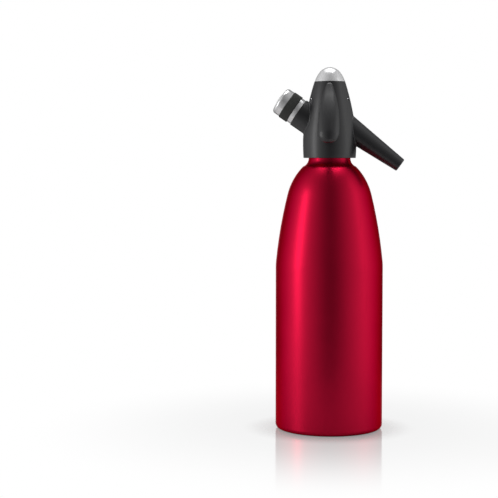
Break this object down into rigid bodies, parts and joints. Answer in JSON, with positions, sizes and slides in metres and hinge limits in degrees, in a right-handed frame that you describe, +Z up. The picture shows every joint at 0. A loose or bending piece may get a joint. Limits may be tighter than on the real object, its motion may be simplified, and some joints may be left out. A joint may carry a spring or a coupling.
{
  "type": "soda siphon",
  "caption": "Refillable soda siphon: lacquered pressure bottle, screw-on black head with press lever, slanted spout and capped charger connection.",
  "frame": {"origin": "centre of the standing ring under the bottle, on the bottle's axis", "axes": "+Z up along the bottle's axis, -Y towards the lever, +X towards the spout, -X towards the charger cap"},
  "size_m": [0.1096, 0.0905, 0.3037],
  "materials": {
    "bottle_red": "satin red lacquer over aluminium",
    "cover_black": "satin black moulded plastic",
    "lever_black": "satin black moulded plastic",
    "bright_chrome": "polished chrome plate",
    "grip_rubber": "fine ribbed black rubber",
    "cast_alloy": "cast and turned alloy",
    "steel": "turned stainless steel",
    "brass": "turned brass",
    "rubber_grey": "grey sealing rubber",
    "clear_plastic": "milky food-grade plastic",
    "inner_plastic": "dark moulded plastic"
  },
  "bodies": {
    "bottle": {"bottle": "bottle_red"},
    "riser_set": {"riser_tube": "clear_plastic", "level_tube": "clear_plastic", "neck_gasket": "rubber_grey", "riser_seal": "rubber_grey"},
    "thrust_seal": {"head_gasket": "rubber_grey"},
    "head": {"head_cover": "cover_black", "head_core": "cast_alloy", "dome_cap": "bright_chrome", "spring_plate": "inner_plastic", "valve_seat": "brass", "stem_guide": "brass", "stem_seal": "rubber_grey", "charger_neck": "cover_black", "charger_socket": "brass", "charger_seal": "rubber_grey", "piercing_needle": "steel", "check_valve": "rubber_grey", "gas_filter": "brass", "spout": "cover_black", "spout_ring": "rubber_grey", "spout_nozzle": "inner_plastic", "lever_pin": "steel", "valve_spring": "steel"},
    "lever": {"lever": "lever_black"},
    "valve": {"valve_stem": "steel", "valve_washer": "rubber_grey", "lift_collar": "steel"},
    "cap_seal": {"cap_gasket": "rubber_grey"},
    "cap": {"cap_shell": "bright_chrome", "cap_grip": "grip_rubber", "cap_liner": "inner_plastic"}
  },
  "joints": [
    {"name": "head_lift", "type": "slide", "parent": "bottle", "child": "riser_set", "axis": [0, 0, 1], "range_m": [0, 0.25]},
    {"name": "thread_rise", "type": "slide", "parent": "riser_set", "child": "thrust_seal", "axis": [0, 0, 1], "range_m": [0, 0.0061]},
    {"name": "head_turn", "type": "hinge", "parent": "thrust_seal", "child": "head", "pos_m": [0, 0, 0.243], "axis": [0, 0, 1], "range_deg": [0, 720]},
    {"name": "lever_press", "type": "hinge", "parent": "head", "child": "lever", "pos_m": [0, -0.0073, 0.2763], "axis": [1, 0, 0], "range_deg": [0, 14], "stiffness_Nm_per_rad": 0.2, "springref_deg": -14.32},
    {"name": "valve_lift", "type": "slide", "parent": "head", "child": "valve", "axis": [0, 0, 1], "range_m": [0, 0.0019], "deforming": ["valve_spring"]},
    {"name": "cap_rise", "type": "slide", "parent": "head", "child": "cap_seal", "axis": [-0.8241, 0, 0.5664], "range_m": [0, 0.0091]},
    {"name": "cap_turn", "type": "hinge", "parent": "cap_seal", "child": "cap", "pos_m": [0, 0, 0.248], "axis": [-0.8241, 0, 0.5664], "range_deg": [0, 2160]}
  ],
  "couplings": [
    {"joint": "thread_rise", "follows": "head_turn", "m_per_rad": 0.00047746},
    {"joint": "valve_lift", "follows": "lever_press", "m_per_rad": 0.00725},
    {"joint": "cap_rise", "follows": "cap_turn", "m_per_rad": 0.00023873}
  ]
}
